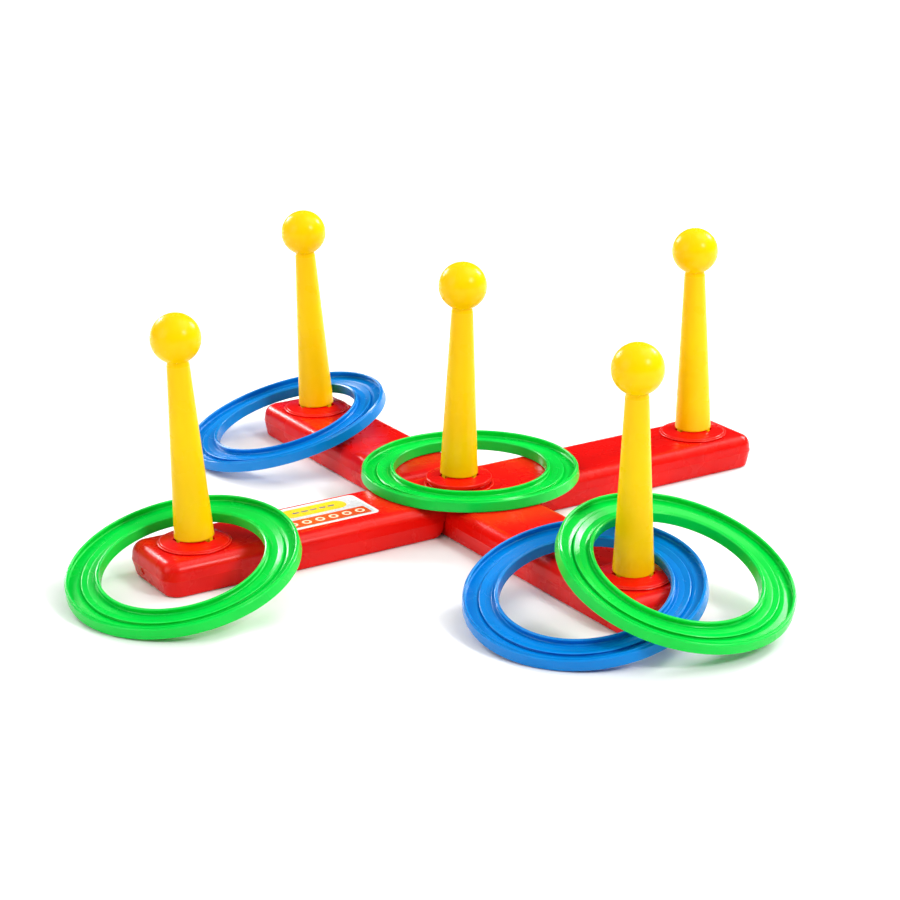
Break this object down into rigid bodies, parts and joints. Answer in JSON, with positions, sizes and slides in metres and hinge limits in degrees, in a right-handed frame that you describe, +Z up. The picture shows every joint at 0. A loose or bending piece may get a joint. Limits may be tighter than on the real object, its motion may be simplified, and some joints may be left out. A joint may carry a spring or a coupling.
{
  "type": "ring toss set",
  "caption": "Garden ring toss set: two hollow beams half-lapped into a cross, ball-topped tapered pegs in keyed sockets, and flat channel rings lying where they were thrown.",
  "frame": {"origin": "centre of the cross, on the ground under the crossing of the two beams", "axes": "+X along the upper beam to its right end, +Y along the lower beam to its rear end, +Z up"},
  "size_m": [0.5299, 0.5622, 0.1781],
  "materials": {
    "red_plastic": "blow-moulded polyethylene, satin gloss",
    "yellow_plastic": "moulded polyethylene, satin gloss",
    "green_plastic": "injection-moulded, glossy",
    "blue_plastic": "injection-moulded, glossy",
    "label_film": "printed vinyl film"
  },
  "bodies": {
    "base": {"lower_beam": "red_plastic", "socket_rear": "red_plastic", "socket_front": "red_plastic"},
    "cross": {"upper_beam": "red_plastic", "label": "label_film", "socket_left": "red_plastic", "socket_centre": "red_plastic", "socket_right": "red_plastic"},
    "stand_left": {"peg_left": "yellow_plastic", "ball_left": "yellow_plastic"},
    "stand_rear": {"peg_rear": "yellow_plastic", "ball_rear": "yellow_plastic"},
    "stand_centre": {"peg_centre": "yellow_plastic", "ball_centre": "yellow_plastic"},
    "stand_right": {"peg_right": "yellow_plastic", "ball_right": "yellow_plastic"},
    "stand_front": {"peg_front": "yellow_plastic", "ball_front": "yellow_plastic"},
    "toss_green_left": {"ring_green_left": "green_plastic"},
    "toss_green_centre": {"ring_green_centre": "green_plastic"},
    "toss_green_front": {"ring_green_front": "green_plastic"},
    "toss_blue_rear": {"ring_blue_rear": "blue_plastic"},
    "toss_blue_front": {"ring_blue_front": "blue_plastic"}
  },
  "joints": [
    {"name": "beam_lift", "type": "slide", "parent": "base", "child": "cross", "axis": [0, 0, 1], "range_m": [0, 0.06]},
    {"name": "peg_left_pull", "type": "slide", "parent": "cross", "child": "stand_left", "axis": [-0.0295, 0.0454, 0.9985], "range_m": [0, 0.07]},
    {"name": "peg_rear_pull", "type": "slide", "parent": "base", "child": "stand_rear", "axis": [-0.0385, 0.024, 0.999], "range_m": [0, 0.07]},
    {"name": "peg_centre_pull", "type": "slide", "parent": "cross", "child": "stand_centre", "axis": [0.0275, -0.0048, 0.9996], "range_m": [0, 0.07]},
    {"name": "peg_right_pull", "type": "slide", "parent": "cross", "child": "stand_right", "axis": [-0.0118, 0.0074, 0.9999], "range_m": [0, 0.07]},
    {"name": "peg_front_pull", "type": "slide", "parent": "base", "child": "stand_front", "axis": [-0.0231, -0.037, 0.999], "range_m": [0, 0.07]},
    {"name": "ring_green_left_lift", "type": "slide", "parent": "cross", "child": "toss_green_left", "axis": [0.1098, 0.208, 0.9719], "range_m": [0, 0.2]},
    {"name": "ring_green_centre_lift", "type": "slide", "parent": "cross", "child": "toss_green_centre", "axis": [0, 0, 1], "range_m": [0, 0.2]},
    {"name": "ring_blue_rear_lift", "type": "slide", "parent": "base", "child": "toss_blue_rear", "axis": [0.1061, 0.0714, 0.9918], "range_m": [0, 0.2]},
    {"name": "ring_blue_front_lift", "type": "slide", "parent": "base", "child": "toss_blue_front", "axis": [0.0498, 0.0598, 0.997], "range_m": [0, 0.2]},
    {"name": "ring_green_front_lift", "type": "slide", "parent": "toss_blue_front", "child": "toss_green_front", "axis": [-0.0497, 0.0994, 0.9938], "range_m": [0, 0.2]}
  ]
}
